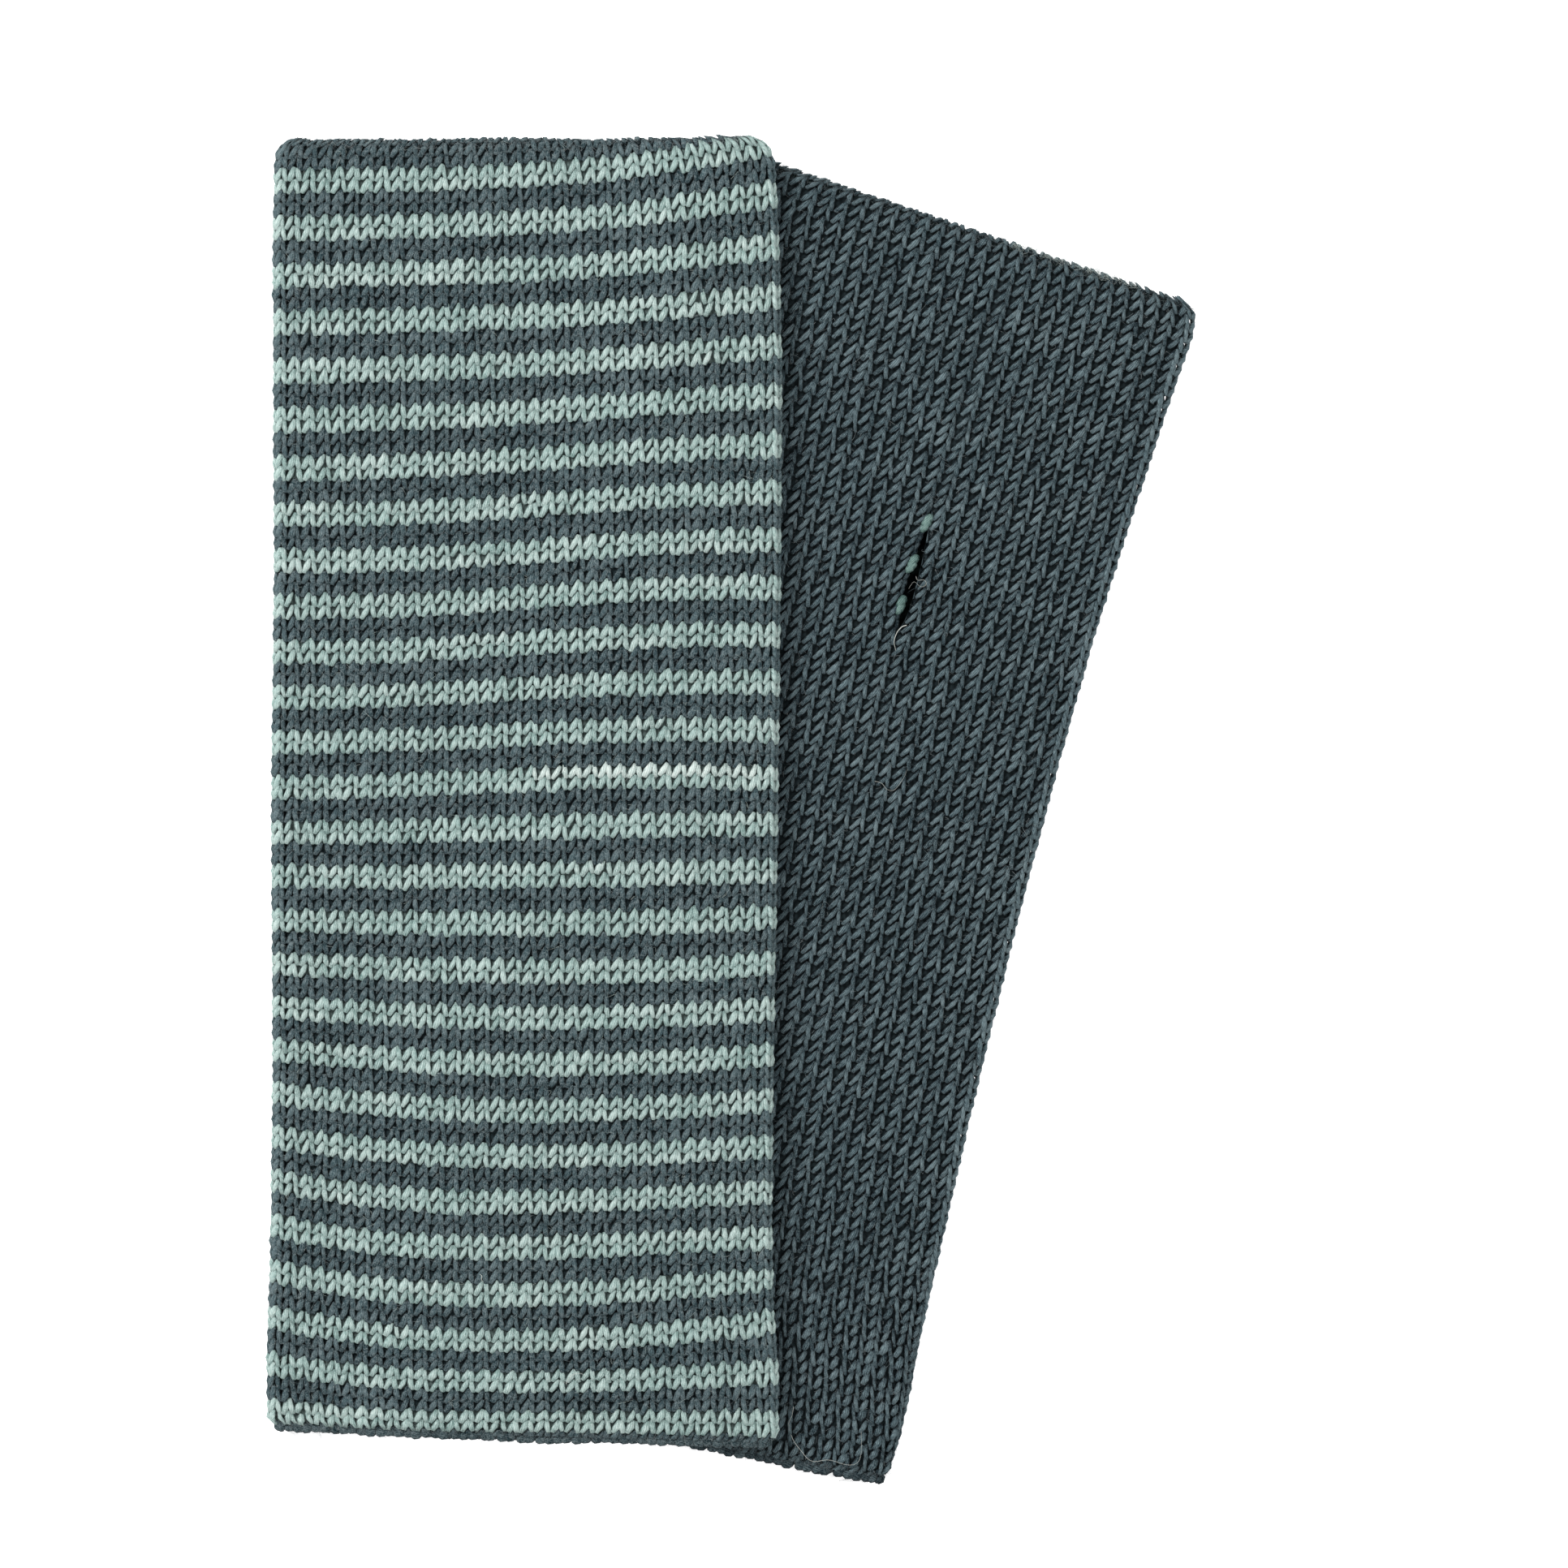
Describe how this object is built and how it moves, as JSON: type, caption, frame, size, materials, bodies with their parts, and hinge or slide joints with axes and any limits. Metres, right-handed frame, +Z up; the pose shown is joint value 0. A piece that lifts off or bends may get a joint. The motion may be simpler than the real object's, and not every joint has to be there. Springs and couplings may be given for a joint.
{
  "type": "pair of knitted arm warmers",
  "caption": "Pair of reversible double-layer knitted wool arm warmers laid flat, a striped one over a leaning plain one, with open ends and a thumb slit.",
  "frame": {"origin": "on the table, under the middle of the pair's box", "axes": "+X to the right, +Y along the striped warmer towards its folded upper end, +Z up from the table"},
  "size_m": [0.1798, 0.2606, 0.0124],
  "materials": {
    "striped_knit": "dull fuzzy wool stockinette, mint and slate stripes",
    "plain_knit": "dull fuzzy wool stockinette, slate",
    "cast_off_rim": "dull wool cast-off edge, slate"
  },
  "bodies": {
    "root": {"striped_warmer_face": "striped_knit", "striped_warmer_lining": "plain_knit", "striped_warmer_rim": "cast_off_rim", "plain_warmer_face": "plain_knit", "plain_warmer_lining": "striped_knit", "plain_warmer_rim": "cast_off_rim"}
  },
  "joints": []
}
